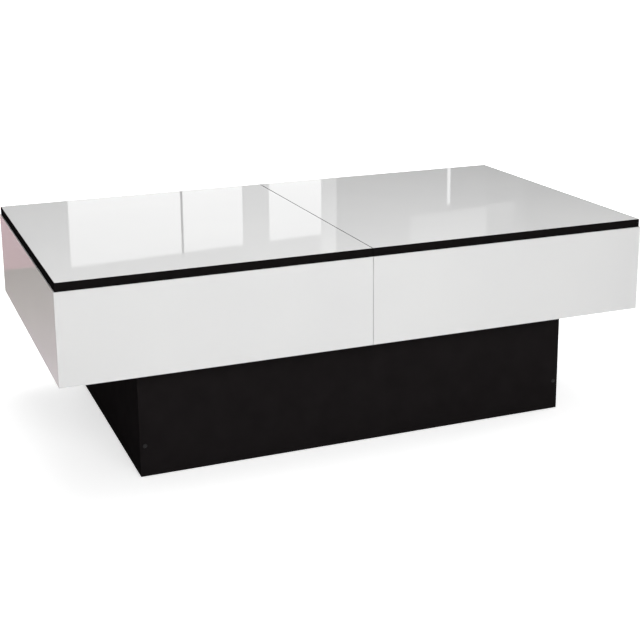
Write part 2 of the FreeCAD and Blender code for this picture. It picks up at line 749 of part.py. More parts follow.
def make_outer_runners():
    body = doc.addObject("PartDesign::Body", "OuterRunner")
    sketch = channel(body, "0", "slide_sheet", "slide_half_height", "slide_half_height - slide_sheet", 0)
    rail = pad(body, sketch, "outer_runner_length")
    close_stop = tab(body, "slide_sheet", "slide_sheet + close_stop_height", "0")
    far_end = "outer_runner_length - slide_sheet"
    cage_stop = tab(body, "slide_sheet", "slide_sheet + cage_stop_height", far_end)
    double(body, [rail, close_stop, cage_stop])
    centres = [(f"slide_end_stop + {spot}", "0") for spot in runner_holes]
    drill(body, "XZ_Plane", centres, "screw_hole", level="-slide_sheet", against=True,
          mouth="runner_screw_head + 2 * fit_clearance")
    place(body, "-slide_centre_gap + slide_end_stop", "-tray_half_width", "slide_level", TURNED_ROUND)
    four_images(body, "outer_runner")

    screw = countersunk_screw("TrayRunnerScrew", "runner_screw_head", "screw_diameter", "tray_screw_length")
    repeat(screw, [screw.Tip], "X_Axis", "slide_hole_span", RUNNER_SCREWS)
    place(screw, "-slide_outer_end + slide_hole_inset", "-tray_half_width - slide_sheet", "slide_level",
          POINTING_BACK)
    group(with_images(with_images([screw], FRONT_TO_BACK), SIDE_TO_SIDE), "outer_runner_screws")


def make_inner_runners():
    body = doc.addObject("PartDesign::Body", "InnerRunner")
    race = "ball_level - race_radius"
    sketch = channel(body, "slide_thickness", "slide_front", race, f"{race} - slide_sheet", 180)
    rail = pad(body, sketch, "slide_length")
    stop = tab(body, "slide_sheet + stop_clearance", "slide_front", "0")
    double(body, [rail, stop])
    drill(body, "XZ_Plane", [(spot, "0") for spot in runner_holes], "screw_hole", level="-slide_front",
          mouth="runner_screw_head + 2 * fit_clearance")
    place(body, "-slide_centre_gap", "-tray_half_width", "slide_level", TURNED_ROUND)
    four_images(body, "inner_runner")

    screw = countersunk_screw("ApronRunnerScrew", "runner_screw_head", "screw_diameter", "apron_screw_length")
    repeat(screw, [screw.Tip], "X_Axis", "slide_hole_span", RUNNER_SCREWS)
    place(screw, "-slide_outer_end + slide_hole_inset", "-half_width + apron_thickness + slide_sheet",
          "slide_level", POINTING_FRONT)
    left = group(with_images([screw], FRONT_TO_BACK), "left_inner_runner_screws")
    keep(mirror(left, SIDE_TO_SIDE), "right_inner_runner_screws")


def ball(name):
    """A ball about the body's origin: an upright core with flats whose rims are cut back."""
    body = doc.addObject("PartDesign::Body", name)
    core = body.newObject("PartDesign::AdditivePrism", name + "Core")
    core.Polygon = FEW_FLATS
    core.setExpression("Circumradius", bound("ball_core_radius"))
    core.setExpression("Height", bound("ball_core_height"))
    core.AttachmentSupport = [(origin_feature(body, "XY_Plane"), "")]
    core.MapMode = "FlatFace"
    core.setExpression("AttachmentOffset.Base.z", bound("-ball_core_height / 2"))
    doc.recompute()
    level = [index for index, face in enumerate(core.Shape.Faces, start=1) if face.BoundBox.ZLength < NOTHING]
    rims = body.newObject("PartDesign::Chamfer", name + "Rims")
    rims.Base = (core, [f"Face{index}" for index in level])
    rims.setExpression("Size", bound("ball_rim"))
    return body


def make_ball_cages():
    body = doc.addObject("PartDesign::Body", "BallCage")
    sketch = add_sketch(body, "YZ_Plane")
    outline(sketch, [
        ("cage_back", "0"),
        ("cage_back", "ball_level + cage_sheet / 2"),
        ("cage_front", "ball_level + cage_sheet / 2"),
        ("cage_front", "ball_level - cage_sheet / 2"),
        ("cage_back + cage_sheet", "ball_level - cage_sheet / 2"),
        ("cage_back + cage_sheet", "0"),
    ])
    double(body, [pad(body, sketch, "cage_length")])
    sketch = add_sketch(body, "XY_Plane", "slide_half_height")
    for step in range(BALLS):
        low = f"ball_end_inset + {step} * ball_pitch - ball_window / 2"
        high = f"ball_end_inset + {step} * ball_pitch + ball_window / 2"
        near = "ball_depth - ball_window / 2"
        far = "ball_depth + ball_window / 2"
        outline(sketch, [(low, near), (high, near), (high, far), (low, far)])
    cut(body, sketch, None, False)
    place(body, "-slide_centre_gap - cage_start", "-tray_half_width", "slide_level", TURNED_ROUND)
    four_images(body, "ball_cage")

    balls = []
    for step in range(BALLS):
        for side in "+-":
            piece = ball("Ball")
            place(piece, f"-slide_centre_gap - cage_start - ball_end_inset - {step} * ball_pitch",
                  "-tray_half_width - ball_depth", f"slide_level {side} ball_level")
            balls.append(piece)
    left_front = group(balls, "left_front_balls")
    left_back = keep(mirror(left_front, FRONT_TO_BACK), "left_back_balls")
    keep(mirror(left_front, SIDE_TO_SIDE), "right_front_balls")
    keep(mirror(left_back, SIDE_TO_SIDE), "right_back_balls")


# Tray: a floor under four walls, screwed together, with the outer runners on the long walls

def make_tray():
    floor = board("TrayFloor", "tray_length", "tray_width", "tray_floor_thickness")
    sides = ("tray_wall_middle", "tray_width - tray_wall_middle")
    ends = ("tray_wall_middle", "tray_length - tray_wall_middle")
    centres = [(spot, side) for spot in floor_screws_long for side in sides]
    centres += [(end, spot) for spot in floor_screws_end for end in ends]
    drill(floor, "XY_Plane", centres, "panel_screw_hole", against=True, mouth="panel_screw_mouth")
    batten_x = "tray_half_length - batten_length / 2"
    batten_y = "tray_half_width - plinth_end_span / 2 + batten_middle"
    lines = (batten_y, f"tray_width - ({batten_y})")
    centres = [(f"{batten_x} + {spot}", line) for spot in batten_floor_screws for line in lines]
    drill(floor, "XY_Plane", centres, "panel_screw_hole",
          "batten_floor_screw_length - batten_size + hole_end_clearance", against=True)
    place(floor, "-tray_half_length", "-tray_half_width", "tray_bottom")
    keep(floor, "tray_floor")

    wall = board("TrayLongWall", "tray_length", "tray_wall_thickness", "tray_wall_height")
    drill(wall, "XY_Plane", [(spot, "tray_wall_middle") for spot in floor_screws_long],
          "panel_screw_hole", "panel_screw_bore", against=True)
    drill(wall, "XZ_Plane", [(end, spot) for end in ends for spot in tray_corner_levels],
          "panel_screw_hole", mouth="panel_screw_mouth")
    level = "slide_level - tray_wall_bottom"
    centres = [(f"tray_half_length {side} (slide_centre_gap + {spot})", level)
               for side in "-+" for spot in runner_holes]
    drill(wall, "XZ_Plane", centres, "screw_hole", "tray_screw_length - slide_sheet + hole_end_clearance")
    place(wall, "-tray_half_length", "-tray_half_width", "tray_wall_bottom")
    keep(wall, "tray_front_wall")
    keep(mirror(wall, FRONT_TO_BACK), "tray_back_wall")

    wall = board("TrayEndWall", "tray_wall_thickness", "tray_end_span", "tray_wall_height")
    screw = ("panel_screw_hole", "panel_screw_bore")
    centres = [("tray_wall_middle", f"{spot} - tray_wall_thickness") for spot in floor_screws_end]
    drill(wall, "XY_Plane", centres, *screw, against=True)
    centres = [("tray_wall_middle", spot) for spot in tray_corner_levels]
    drill(wall, "XZ_Plane", centres, *screw)
    drill(wall, "XZ_Plane", centres, *screw, level="-tray_end_span", against=True)
    place(wall, "-tray_half_length", "-tray_half_width + tray_wall_thickness", "tray_wall_bottom")
    keep(wall, "tray_left_wall")
    keep(mirror(wall, SIDE_TO_SIDE), "tray_right_wall")


def make_tray_screws():
    long_row = countersunk_screw("FloorScrewLong", "panel_screw_head", "panel_screw_diameter",
                                 "tray_floor_thickness + panel_screw_grip")
    repeat(long_row, [long_row.Tip], "X_Axis", "floor_screw_span", FLOOR_SCREWS)
    place(long_row, "-tray_half_length + floor_screw_inset", "-tray_half_width + tray_wall_middle",
          "tray_bottom")
    end_row = countersunk_screw("FloorScrewEnd", "panel_screw_head", "panel_screw_diameter",
                                "tray_floor_thickness + panel_screw_grip")
    repeat(end_row, [end_row.Tip], "Y_Axis", "tray_width - 2 * floor_screw_inset", 2)
    place(end_row, "-tray_half_length + tray_wall_middle", "-tray_half_width + floor_screw_inset",
          "tray_bottom")
    group(with_images([long_row], FRONT_TO_BACK) + with_images([end_row], SIDE_TO_SIDE), "tray_floor_screws")

    corner = countersunk_screw("TrayCornerScrew", "panel_screw_head", "panel_screw_diameter",
                               "tray_wall_thickness + panel_screw_grip")
    repeat(corner, [corner.Tip], "Y_Axis", "tray_wall_height - 2 * tray_corner_inset", 2)
    place(corner, "-tray_half_length + tray_wall_middle", "-tray_half_width",
          "tray_wall_bottom + tray_wall_height - tray_corner_inset", POINTING_BACK)
    group(with_images(with_images([corner], SIDE_TO_SIDE), FRONT_TO_BACK), "tray_corner_screws")


# Plinth: long panels over the edges of the end panels, with capped corner screws and hidden dowels

def make_plinth():
    screw_level = "plinth_screw_height - glide_height"
    dowel_level = "plinth_dowel_height - glide_height"
    ends = ("plinth_middle", "plinth_length - plinth_middle")
    panel = board("PlinthLongPanel", "plinth_length", "plinth_thickness", "plinth_height")
    inside = "-plinth_thickness"
    drill(panel, "XZ_Plane", [(end, screw_level) for end in ends], "panel_screw_hole",
          mouth="panel_screw_mouth")
    drill(panel, "XZ_Plane", [(end, dowel_level) for end in ends],
          "dowel_hole", "plinth_hole_depth + hole_end_clearance", level=inside, against=True)
    batten_x = "plinth_thickness + batten_end_clearance"
    centres = [(f"{batten_x} + {spot}", "plinth_height - batten_middle") for spot in batten_panel_screws]
    drill(panel, "XZ_Plane", centres, "panel_screw_hole",
          "batten_panel_screw_length - batten_size + hole_end_clearance", level=inside, against=True)
    drill(panel, "XY_Plane", [(spot, "plinth_middle") for spot in glides],
          "glide_pin_diameter + 2 * fit_clearance", "glide_pin_length + hole_end_clearance", against=True)
    place(panel, "-plinth_length / 2", "-plinth_width / 2", "glide_height")
    keep(panel, "plinth_front_panel")
    keep(mirror(panel, FRONT_TO_BACK), "plinth_back_panel")

    panel = board("PlinthEndPanel", "plinth_thickness", "plinth_end_span", "plinth_height")
    for level, hole, depth in ((screw_level, "panel_screw_hole", "panel_screw_bore"),
                               (dowel_level, "dowel_hole", "dowel_bore")):
        centre = ("plinth_middle", level)
        drill(panel, "XZ_Plane", [centre], hole, depth)
        drill(panel, "XZ_Plane", [centre], hole, depth, level="-plinth_end_span", against=True)
    place(panel, "-plinth_length / 2", "-plinth_end_span / 2", "glide_height")
    keep(panel, "plinth_left_panel")
    keep(mirror(panel, SIDE_TO_SIDE), "plinth_right_panel")


def make_plinth_fixings():
    corner_x = "-plinth_length / 2 + plinth_middle"
    face_y = "-plinth_width / 2"
    screw = countersunk_screw("PlinthScrew", "panel_screw_head", "panel_screw_diameter",
                              "plinth_thickness + panel_screw_grip")
    place(screw, corner_x, face_y, "plinth_screw_height", POINTING_BACK)
    cap = spindle("PlinthScrewCap", [
        ("plinth_cap_diameter", "0"),
        ("plinth_cap_diameter", "plinth_cap_rim"),
        ("plinth_cap_crown", "plinth_cap_height"),
    ], MORE_FLATS)
    place(cap, corner_x, face_y, "plinth_screw_height", POINTING_FRONT)
    peg = dowel("PlinthDowel", "dowel_grip + plinth_hole_depth")
    place(peg, corner_x, f"{face_y} + plinth_thickness - plinth_hole_depth", "plinth_dowel_height",
          POINTING_BACK)
    for thing, label in ((screw, "plinth_corner_screws"), (cap, "plinth_screw_caps"), (peg, "plinth_dowels")):
        group(with_images(with_images([thing], SIDE_TO_SIDE), FRONT_TO_BACK), label)

    glide = spindle("FloorGlide", [
        ("glide_diameter - 2 * glide_edge", "0"),
        ("glide_diameter", "glide_edge"),
        ("glide_diameter", "glide_height"),
    ], MORE_FLATS)
    disc = glide.Tip
    add_spindle(glide, [
        ("glide_pin_diameter", "glide_height"),
        ("glide_pin_diameter", "glide_height + glide_pin_length"),
    ])
    repeat(glide, [disc, glide.Tip], "X_Axis", "glide_span", GLIDES)
    place(glide, "-glide_span / 2", "-plinth_width / 2 + plinth_middle", "0")
    group(with_images([glide], FRONT_TO_BACK), "floor_glides")


# Battens: inside the long plinth panels, screwed to them and up into the tray floor

def make_battens():
    batten = board("FixingBatten", "batten_length", "batten_size", "batten_size")
    drill(batten, "XZ_Plane", [(spot, "batten_middle") for spot in batten_panel_screws],
          "panel_screw_hole", level="-batten_size", against=True, mouth="panel_screw_mouth")
    drill(batten, "XY_Plane", [(spot, "batten_middle") for spot in batten_floor_screws],
          "panel_screw_hole", against=True, mouth="panel_screw_mouth")
    corner = ("-batten_length / 2", "-plinth_end_span / 2", "batten_level")
    place(batten, *corner)
    keep(batten, "front_fixing_batten")
    keep(mirror(batten, FRONT_TO_BACK), "back_fixing_batten")

    level = countersunk_screw("BattenPanelScrew", "panel_screw_head", "panel_screw_diameter",
                              "batten_panel_screw_length")
    repeat(level, [level.Tip], "X_Axis", "batten_screw_span", BATTEN_SCREWS)
    place(level, f"{corner[0]} + {batten_panel_screws[0]}", f"{corner[1]} + batten_size",
          f"{corner[2]} + batten_middle", POINTING_FRONT)
    upright = countersunk_screw("BattenFloorScrew", "panel_screw_head", "panel_screw_diameter",
                                "batten_floor_screw_length")
    repeat(upright, [upright.Tip], "X_Axis", "batten_screw_span", BATTEN_SCREWS)
    place(upright, f"{corner[0]} + {batten_floor_screws[0]}", f"{corner[1]} + batten_middle", corner[2])
    group(with_images([level, upright], FRONT_TO_BACK), "batten_screws")


make_top_panel()
make_edge_band()
make_long_aprons()
make_end_aprons()
make_corner_brackets()
make_apron_fixings()
make_bumpers()
make_outer_runners()
make_inner_runners()
make_ball_cages()
make_tray()
make_tray_screws()
make_plinth()
make_plinth_fixings()
make_battens()
doc.recompute()

for thing in doc.Objects:
    if "Invalid" in thing.State or "Error" in thing.State:
        raise RuntimeError("failed: " + thing.Label)
for piece in pieces:
    if piece.Shape.isNull() or not piece.Shape.isValid():
        raise RuntimeError("bad shape: " + piece.Label)

os.makedirs("parts", exist_ok=True)
for piece in pieces:
    piece.Shape.exportStep("parts/" + piece.Label + ".step")
print(len(pieces), "pieces,", sum(len(piece.Shape.Solids) for piece in pieces), "solids")
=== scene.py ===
import json
import math

import bmesh
import bpy
from mathutils import Matrix, Quaternion, Vector


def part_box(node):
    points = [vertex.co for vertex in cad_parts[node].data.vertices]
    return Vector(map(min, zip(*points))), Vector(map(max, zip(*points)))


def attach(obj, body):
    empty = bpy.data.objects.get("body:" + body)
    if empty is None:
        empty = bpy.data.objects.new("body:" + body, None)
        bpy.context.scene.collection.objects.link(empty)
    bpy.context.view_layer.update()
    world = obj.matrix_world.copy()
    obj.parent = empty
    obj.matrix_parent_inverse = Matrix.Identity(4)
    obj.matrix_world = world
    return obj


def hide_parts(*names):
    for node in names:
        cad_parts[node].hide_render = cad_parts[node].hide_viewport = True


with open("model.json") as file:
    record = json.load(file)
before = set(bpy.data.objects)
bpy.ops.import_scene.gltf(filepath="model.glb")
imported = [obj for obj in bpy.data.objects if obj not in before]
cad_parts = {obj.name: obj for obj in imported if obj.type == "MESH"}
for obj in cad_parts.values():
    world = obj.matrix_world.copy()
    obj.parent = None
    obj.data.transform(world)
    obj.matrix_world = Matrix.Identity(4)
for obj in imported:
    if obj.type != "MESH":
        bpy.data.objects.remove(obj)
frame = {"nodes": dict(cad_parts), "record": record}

# Sliding top coffee table: two gloss white half tops on runners over a black tray and plinth.
# All sizes are metres in the frame of the CAD model.

MM = 0.001
# Points closer than this are one
SAME_POINT = 0.001 * MM
ALONG_X, ALONG_Y, ALONG_Z = range(3)
nodes = frame["nodes"]
record = frame["record"]
slot_of = {part["node"]: part["material_slot"] for part in record["subparts"]}
body_of = {}
for body, members in record["behaviour"]["bodies"].items():
    for member in members:
        body_of[member] = body
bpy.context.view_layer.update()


# Material helpers

# Most values of a noise field lie between these two
NOISE_LOW, NOISE_HIGH = 0.3, 0.7


def new_material(name):
    """A new material, its node tree and its main shader."""
    made = bpy.data.materials.new(name)
    made.use_nodes = True
    tree = made.node_tree
    return made, tree, tree.nodes["Principled BSDF"]


def noise(tree, scale, detail=2.0, stretch=(1, 1, 1)):
    """Noise fixed to the piece, with about one wave per 1 / scale metres, stretched along its axes."""
    place = tree.nodes.new("ShaderNodeTexCoord")
    shape = tree.nodes.new("ShaderNodeMapping")
    shape.inputs["Scale"].default_value = stretch
    field = tree.nodes.new("ShaderNodeTexNoise")
    field.inputs["Scale"].default_value = scale
    field.inputs["Detail"].default_value = detail
    tree.links.new(place.outputs["Object"], shape.inputs["Vector"])
    tree.links.new(shape.outputs["Vector"], field.inputs["Vector"])
    return field.outputs[0]


def paint(tree, shader, field, dark, light):
    """Let the base colour drift between two shades."""
    ramp = tree.nodes.new("ShaderNodeValToRGB")
    ramp.color_ramp.elements[0].position = NOISE_LOW
    ramp.color_ramp.elements[0].color = (*dark, 1)
    ramp.color_ramp.elements[1].position = NOISE_HIGH
    ramp.color_ramp.elements[1].color = (*light, 1)
    tree.links.new(field, ramp.inputs["Fac"])
    tree.links.new(ramp.outputs["Color"], shader.inputs["Base Color"])


def roughen(tree, shader, field, smooth, rough):
    """Let the roughness drift between two values."""
    span = tree.nodes.new("ShaderNodeMapRange")
    span.inputs["From Min"].default_value = NOISE_LOW
    span.inputs["From Max"].default_value = NOISE_HIGH
    span.inputs["To Min"].default_value = smooth
    span.inputs["To Max"].default_value = rough
    tree.links.new(field, span.inputs["Value"])
    tree.links.new(span.outputs["Result"], shader.inputs["Roughness"])


def emboss(tree, shader, field, depth, strength, sockets=("Normal",)):
    """Raise the surface by a noise field of the given depth."""
    relief = tree.nodes.new("ShaderNodeBump")
    relief.inputs["Strength"].default_value = strength
    relief.inputs["Distance"].default_value = depth
    tree.links.new(field, relief.inputs["Height"])
    for socket in sockets:
        tree.links.new(relief.outputs["Normal"], shader.inputs[socket])


# Materials

def white_lacquer():
    """High-gloss white lacquer with a clear coat and a trace of orange peel."""
    made, tree, shader = new_material("white_lacquer")
    paint(tree, shader, noise(tree, scale=4), dark=(0.80, 0.80, 0.80), light=(0.825, 0.825, 0.82))
    roughen(tree, shader, noise(tree, scale=25), smooth=0.015, rough=0.035)
    orange_peel = noise(tree, scale=220)
    emboss(tree, shader, orange_peel, depth=0.01 * MM, strength=0.5, sockets=("Normal", "Coat Normal"))
    shader.inputs["Coat Weight"].default_value = 0.3
    shader.inputs["Coat Roughness"].default_value = 0.02
    return made


def black_edging():
    """Black plastic edge strip with a fine grain and no gloss."""
    made, tree, shader = new_material("black_edging")
    cloud = noise(tree, scale=60)
    paint(tree, shader, cloud, dark=(0.0076, 0.0068, 0.0070), light=(0.0096, 0.0086, 0.0088))
    roughen(tree, shader, noise(tree, scale=400), smooth=0.32, rough=0.42)
    emboss(tree, shader, noise(tree, scale=1500), depth=0.02 * MM, strength=0.3)
    shader.inputs["Specular IOR Level"].default_value = 0.0
    return made


def melamine(name, dark, light, smooth, rough, gloss):
    """Melamine with the small pores of a pressed board."""
    made, tree, shader = new_material(name)
    paint(tree, shader, noise(tree, scale=30, detail=4), dark, light)
    roughen(tree, shader, noise(tree, scale=300), smooth, rough)
    emboss(tree, shader, noise(tree, scale=900, detail=4), depth=0.05 * MM, strength=0.35)
    shader.inputs["Specular IOR Level"].default_value = gloss
    return made


def wood(name, dark, light, along):
    """Bare planed wood whose grain runs along one axis."""
    made, tree, shader = new_material(name)
    stretch = [1.0, 1.0, 1.0]
    stretch[along] = 0.05
    grain = noise(tree, scale=160, detail=6, stretch=stretch)
    paint(tree, shader, grain, dark, light)
    roughen(tree, shader, noise(tree, scale=90, detail=4, stretch=stretch), smooth=0.55, rough=0.75)
    emboss(tree, shader, grain, depth=0.08 * MM, strength=0.4)
    return made


def metal(name, dark, light, smooth, rough, scale, relief):
    """Bare or plated metal with a clouded surface."""
    made, tree, shader = new_material(name)
    paint(tree, shader, noise(tree, scale, detail=4), dark, light)
    roughen(tree, shader, noise(tree, scale * 3, detail=3), smooth, rough)
    emboss(tree, shader, noise(tree, scale * 8, detail=3), depth=relief, strength=0.3)
    shader.inputs["Metallic"].default_value = 1.0
    return made


def black_plastic():
    """Matt charcoal plastic of the caps and glides."""
    made, tree, shader = new_material("black_plastic")
    cloud = noise(tree, scale=300)
    paint(tree, shader, cloud, dark=(0.010, 0.0096, 0.010), light=(0.015, 0.0145, 0.015))
    roughen(tree, shader, noise(tree, scale=700), smooth=0.38, rough=0.5)
    emboss(tree, shader, noise(tree, scale=2500), depth=0.02 * MM, strength=0.3)
    shader.inputs["Specular IOR Level"].default_value = 0.2
    return made


def rubber():
    """Soft black rubber with a dusty skin."""
    made, tree, shader = new_material("rubber")
    dust = noise(tree, scale=250, detail=4)
    paint(tree, shader, dust, dark=(0.010, 0.010, 0.010), light=(0.020, 0.020, 0.021))
    roughen(tree, shader, noise(tree, scale=500), smooth=0.7, rough=0.85)
    emboss(tree, shader, noise(tree, scale=1800), depth=0.03 * MM, strength=0.4)
    return made


materials = {
    "white_lacquer": white_lacquer(),
    "black_edging": black_edging(),
    "black_board": melamine(
        "black_board", dark=(0.0116, 0.0101, 0.0104), light=(0.0140, 0.0122, 0.0126),
        smooth=0.5, rough=0.6, gloss=0.0,
    ),
    "tray_board": melamine(
        "tray_board", dark=(0.013, 0.0125, 0.013), light=(0.018, 0.0175, 0.018),
        smooth=0.40, rough=0.50, gloss=0.15,
    ),
    "pine": wood("pine", dark=(0.42, 0.26, 0.12), light=(0.62, 0.43, 0.23), along=ALONG_X),
    "beech": wood("beech", dark=(0.48, 0.30, 0.16), light=(0.62, 0.42, 0.25), along=ALONG_Z),
    "zinc_steel": metal(
        "zinc_steel", dark=(0.34, 0.345, 0.36), light=(0.40, 0.405, 0.42),
        smooth=0.26, rough=0.34, scale=40, relief=0.003 * MM,
    ),
    "fastener_steel": metal(
        "fastener_steel", dark=(0.52, 0.52, 0.53), light=(0.66, 0.66, 0.66),
        smooth=0.2, rough=0.32, scale=300, relief=0.01 * MM,
    ),
    "die_cast_zinc": metal(
        "die_cast_zinc", dark=(0.38, 0.38, 0.39), light=(0.50, 0.50, 0.51),
        smooth=0.4, rough=0.55, scale=400, relief=0.05 * MM,
    ),
    "cage_steel": metal(
        "cage_steel", dark=(0.42, 0.43, 0.45), light=(0.55, 0.56, 0.58),
        smooth=0.25, rough=0.4, scale=120, relief=0.02 * MM,
    ),
    "ball_steel": metal(
        "ball_steel", dark=(0.70, 0.70, 0.72), light=(0.80, 0.80, 0.82),
        smooth=0.04, rough=0.08, scale=200, relief=0.001 * MM,
    ),
    "black_plastic": black_plastic(),
    "rubber": rubber(),
}


# Small turned pieces: how the CAD solids stand

SHORTEST, LONGEST = "shortest", "longest"
# Points this near to an end of a solid belong to that end
END_DEPTH = 0.1 * MM


def solids(node):
    """The separate solids of a CAD node, each as a list of points."""
    mesh = bmesh.new()
    mesh.from_mesh(nodes[node].data)
    bmesh.ops.remove_doubles(mesh, verts=mesh.verts, dist=SAME_POINT)
    seen = set()
    groups = []
    for start in mesh.verts:
        if start in seen:
            continue
        seen.add(start)
        group = [start]
        for vert in group:
            for edge in vert.link_edges:
                other = edge.other_vert(vert)
                if other not in seen:
                    seen.add(other)
                    group.append(other)
        groups.append([vert.co.copy() for vert in group])
    mesh.free()
    return groups


def stand(points, axis):
    """How a solid stands: a matrix, its length, and the radius of its wider and of its narrower end.

    The matrix takes Z from the middle of the wider end into the solid.
    """
    low = Vector([min(point[i] for point in points) for i in range(3)])
    high = Vector([max(point[i] for point in points) for i in range(3)])
    middle = (low + high) / 2
    spans = list(high - low)
    if axis == SHORTEST:
        axis = spans.index(min(spans))
    if axis == LONGEST:
        axis = spans.index(max(spans))
    length = high[axis] - low[axis]

    def reach(end):
        """The greatest distance from the axis near one end."""
        near = [point for point in points if abs(point[axis] - end) < END_DEPTH]
        away = [math.hypot(*[point[i] - middle[i] for i in range(3) if i != axis]) for point in near]
        return max(away)

    first, last = reach(low[axis]), reach(high[axis])
    way = Vector((0, 0, 0))
    start = middle.copy()
    if first >= last:
        way[axis] = 1
        start[axis] = low[axis]
    else:
        way[axis] = -1
        start[axis] = high[axis]
    turn = way.to_track_quat("Z", "Y").to_matrix().to_4x4()
    return Matrix.Translation(start) @ turn, length, max(first, last), min(first, last)


# Small turned pieces: tools that shape them

# Cross recess: half an arm's width as a share of its reach, and its floor as a share of its mouth
ARM_SHARE, FLOOR_SHARE = 0.24, 0.55


def to_mesh(shape, name):
    """Turn an edit mesh into a mesh and free it."""
    mesh = bpy.data.meshes.new(name)
    shape.to_mesh(mesh)
    shape.free()
    return mesh


def lathe(profile, steps):
    """A solid turned about Z through (radius, height) points; the first and last lie on the axis."""
    shape = bmesh.new()
    rings = []
    for radius, height in profile:
        if radius == 0:
            rings.append([shape.verts.new((0, 0, height))])
            continue
        ring = []
        for step in range(steps):
            angle = math.tau * step / steps
            ring.append(shape.verts.new((radius * math.cos(angle), radius * math.sin(angle), height)))
        rings.append(ring)
    for near, far in zip(rings, rings[1:]):
        for step in range(steps):
            after = (step + 1) % steps
            around = ((near, step), (near, after), (far, after), (far, step))
            corners = [ring[place % len(ring)] for ring, place in around]
            # On the axis two corners are one, and the face is a triangle
            shape.faces.new(dict.fromkeys(corners))
    bmesh.ops.recalc_face_normals(shape, faces=shape.faces)
    return to_mesh(shape, "turned")


def cross_cutter(reach, depth, above):
    """A tapered cross that cuts the recess of a cross-head screw."""
    shape = bmesh.new()
    half = reach * ARM_SHARE
    rings = []
    for narrow, height in ((1.0, -above), (FLOOR_SHARE, depth)):
        ring = []
        for arm in range(4):
            turn = Matrix.Rotation(arm * math.pi / 2, 3, "Z")
            for x, y in ((reach, -half), (reach, half), (half, half)):
                ring.append(shape.verts.new(turn @ Vector((x * narrow, y * narrow, height))))
        shape.faces.new(ring)
        rings.append(ring)
    top, bottom = rings
    for step in range(len(top)):
        shape.faces.new((top[step - 1], top[step], bottom[step], bottom[step - 1]))
    bmesh.ops.recalc_face_normals(shape, faces=shape.faces)
    return to_mesh(shape, "cross")


def carve(mesh, cutter):
    """Cut one mesh out of another and join the corners that the cut leaves almost on one place."""
    body = bpy.data.objects.new("carved", mesh)
    tool = bpy.data.objects.new("cutter", cutter)
    for item in (body, tool):
        bpy.context.scene.collection.objects.link(item)
    cut = body.modifiers.new("cut", "BOOLEAN")
    cut.operation = "DIFFERENCE"
    cut.solver = "EXACT"
    cut.object = tool
    finished = body.evaluated_get(bpy.context.evaluated_depsgraph_get())
    result = bpy.data.meshes.new_from_object(finished)
    for item in (body, tool):
        bpy.data.objects.remove(item)
    shape = bmesh.new()
    shape.from_mesh(result)
    bmesh.ops.remove_doubles(shape, verts=shape.verts, dist=SAME_POINT)
    shape.to_mesh(result)
    shape.free()
    return result


# Small turned pieces: one function for each, from the length and the radii of its solid

def screw(length, head, shank):
    """A countersunk chipboard screw: slightly raised head, cross recess, thread and point."""
    crown = 0.15 * MM
    lip = head + 0.12 * MM
    neck = head - shank
    core = shank * 0.72
    pitch = shank * 0.9
    flank = pitch * 0.3
    plain_end = shank * 2
    point = shank * 1.6
    profile = [(0, -crown), (lip * 0.6, -crown * 0.9), (lip * 0.93, -crown * 0.5), (lip, 0)]
    profile += [(head * 0.92, head * 0.08), (shank, neck)]
    height = neck + pitch
    while height < length - plain_end:
        profile += [(core, height - flank), (shank, height), (core, height + flank)]
        height += pitch
    profile += [(core, length - point), (0, length)]
    recess = cross_cutter(reach=head * 0.62, depth=head * 0.55, above=crown * 3)
    return carve(lathe(profile, steps=24), recess)


def cam_nut(length, head, _tail):
    """A cam nut: a rimmed drum with a cross recess in its face."""
    proud = 0.1 * MM
    rim = head + 0.1 * MM
    drum = head * 0.9
    profile = [(0, -proud), (rim * 0.96, -proud), (rim, 0), (drum, 0.2 * MM)]
    profile += [(drum, length - 0.4 * MM), (head * 0.84, length), (0, length)]
    recess = cross_cutter(reach=head * 0.5, depth=head * 0.3, above=1 * MM)
    return carve(lathe(profile, steps=32), recess)


def screw_cap(length, base, _crown):
    """A low domed cap with a soft edge."""
    wall = 0.3
    rise = 0.6
    draw_in = length * 0.9
    arc_steps = 6
    profile = [(0, 0), (base, 0), (base, length * wall)]
    for step in range(1, arc_steps):
        angle = math.pi / 2 * step / arc_steps
        radius = base - draw_in * (1 - math.cos(angle))
        profile.append((radius, length * (wall + rise * math.sin(angle))))
    profile += [(base * 0.4, length * 0.98), (0, length)]
    return lathe(profile, steps=48)


def bumper(length, base, _tip):
    """A round rubber pad with a soft edge and a dished face."""
    edge = length * 0.35
    profile = [(0, 0), (base, 0), (base, length - edge), (base - edge * 0.3, length - edge * 0.3)]
    profile += [(base - edge, length), (base * 0.55, length)]
    profile += [(base * 0.4, length * 0.85), (0, length * 0.8)]
    return lathe(profile, steps=40)


def glide(length, base, pin):
    """A nailed glide: a rounded disc on the floor with a tapered pin going up."""
    disc = 1.0 * MM
    outside = base + 0.6 * MM
    profile = [(0, 0), (base * 0.9, 0), (base, 0.1 * MM), (outside, 0.6 * MM), (outside, disc)]
    profile += [(pin, disc), (pin, length * 0.7), (0, length)]
    return lathe(profile, steps=40)


def steel_ball(length, _wide, _narrow):
    """A smooth ball that touches its tracks."""
    radius = length / 2
    rings = 14
    profile = [(0, 0)]
    for step in range(1, rings):
        angle = math.pi * step / rings
        profile.append((radius * math.sin(angle), radius - radius * math.cos(angle)))
    profile.append((0, length))
    return lathe(profile, steps=28)


# Small turned pieces: each takes the place of its CAD node

# Faces that meet at less than this angle are shaded as one round surface
SMOOTH_ANGLE = math.radians(35)


